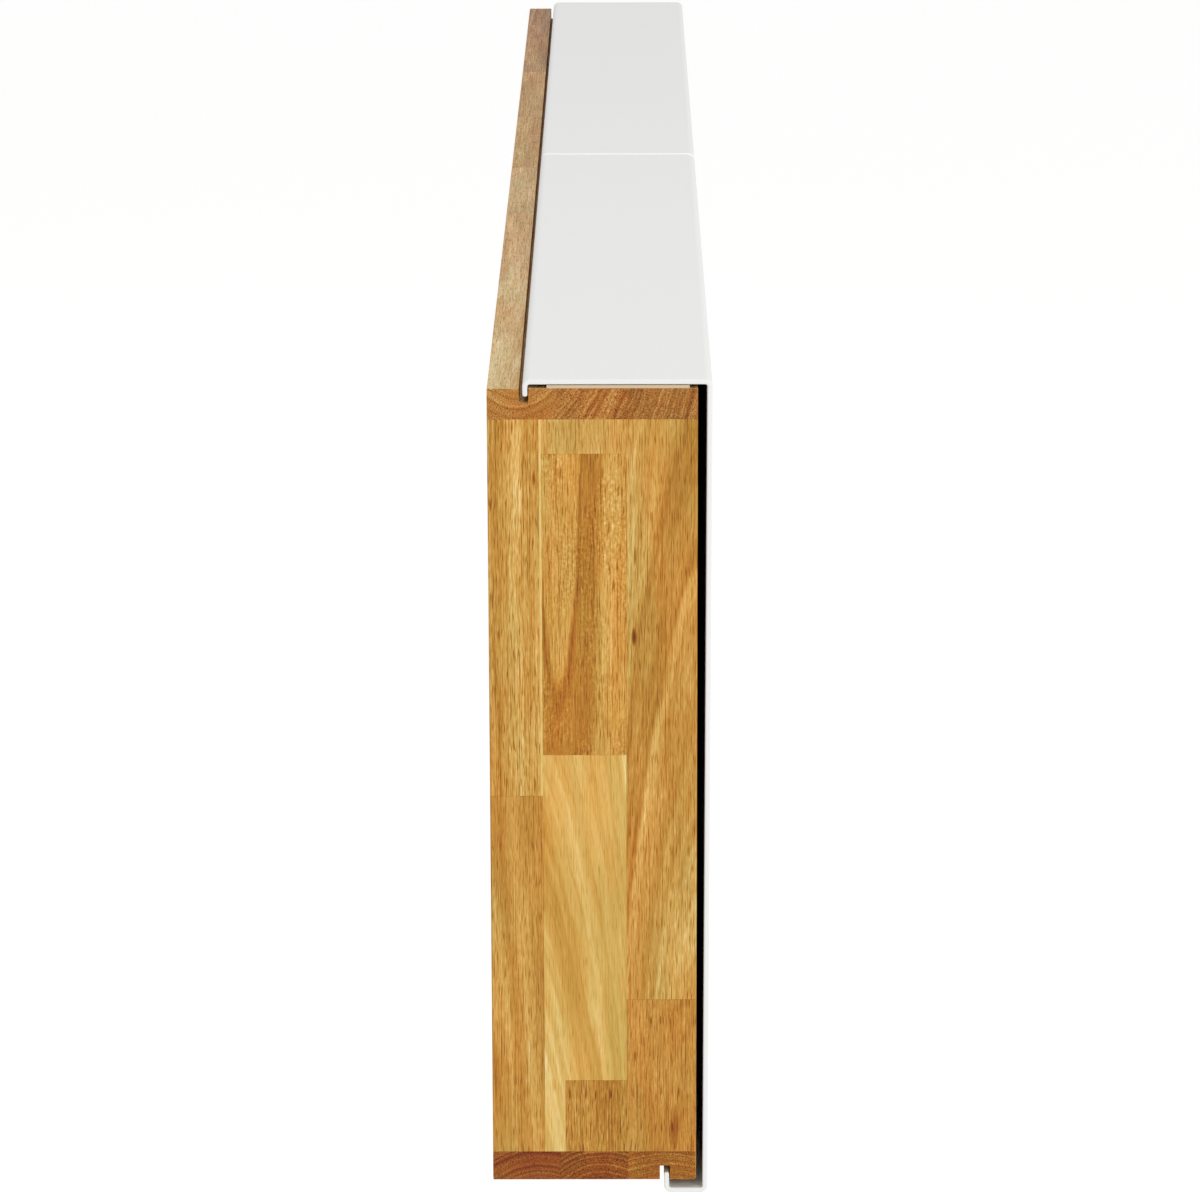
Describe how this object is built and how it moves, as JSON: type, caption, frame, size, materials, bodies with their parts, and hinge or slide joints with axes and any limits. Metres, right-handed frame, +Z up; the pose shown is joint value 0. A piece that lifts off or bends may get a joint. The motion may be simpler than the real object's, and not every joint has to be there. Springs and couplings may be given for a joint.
{
  "type": "wall-hung cabinet with sliding doors",
  "caption": "Slim wall-hung wooden cabinet whose top and front are covered by two bent sheet-steel doors that slide outward along open-ended grooves.",
  "frame": {"origin": "on the flat back face, in the middle of the cabinet's length, at the height of the wall screws", "axes": "+X along the length, +Y from the front through the back face into the wall, +Z up; the doors' fronts face -Y"},
  "size_m": [1.524, 0.1358, 0.5222],
  "materials": {
    "laminated_wood": "oiled laminated hardwood staves, satin",
    "inner_wood": "oiled laminated hardwood, matt",
    "back_panel": "thin plywood, matt",
    "coated_steel": "white powder coat, fine texture, satin",
    "glide_strip": "matt low-friction strip",
    "bumper": "soft matt pad",
    "bare_steel": "zinc-plated steel",
    "dowel": "plain beech dowel"
  },
  "bodies": {
    "carcass": {"top_board": "laminated_wood", "bottom_board": "laminated_wood", "left_end_panel": "laminated_wood", "right_end_panel": "laminated_wood", "centre_divider": "inner_wood", "hanging_rail": "inner_wood", "lower_rail": "inner_wood", "left_shelf": "inner_wood", "right_shelf": "inner_wood", "left_back_panel": "back_panel", "right_back_panel": "back_panel", "top_glide_strip": "glide_strip", "front_bumpers": "bumper", "stop_pins": "bare_steel", "left_shelf_pins": "bare_steel", "right_shelf_pins": "bare_steel", "corner_dowels": "dowel", "divider_dowels": "dowel", "rail_dowels": "dowel"},
    "left_door": {"left_door": "coated_steel"},
    "right_door": {"right_door": "coated_steel"}
  },
  "joints": [
    {"name": "left_door_slide", "type": "slide", "parent": "carcass", "child": "left_door", "axis": [-1, 0, 0], "range_m": [0, 0.35]},
    {"name": "right_door_slide", "type": "slide", "parent": "carcass", "child": "right_door", "axis": [1, 0, 0], "range_m": [0, 0.35]}
  ]
}
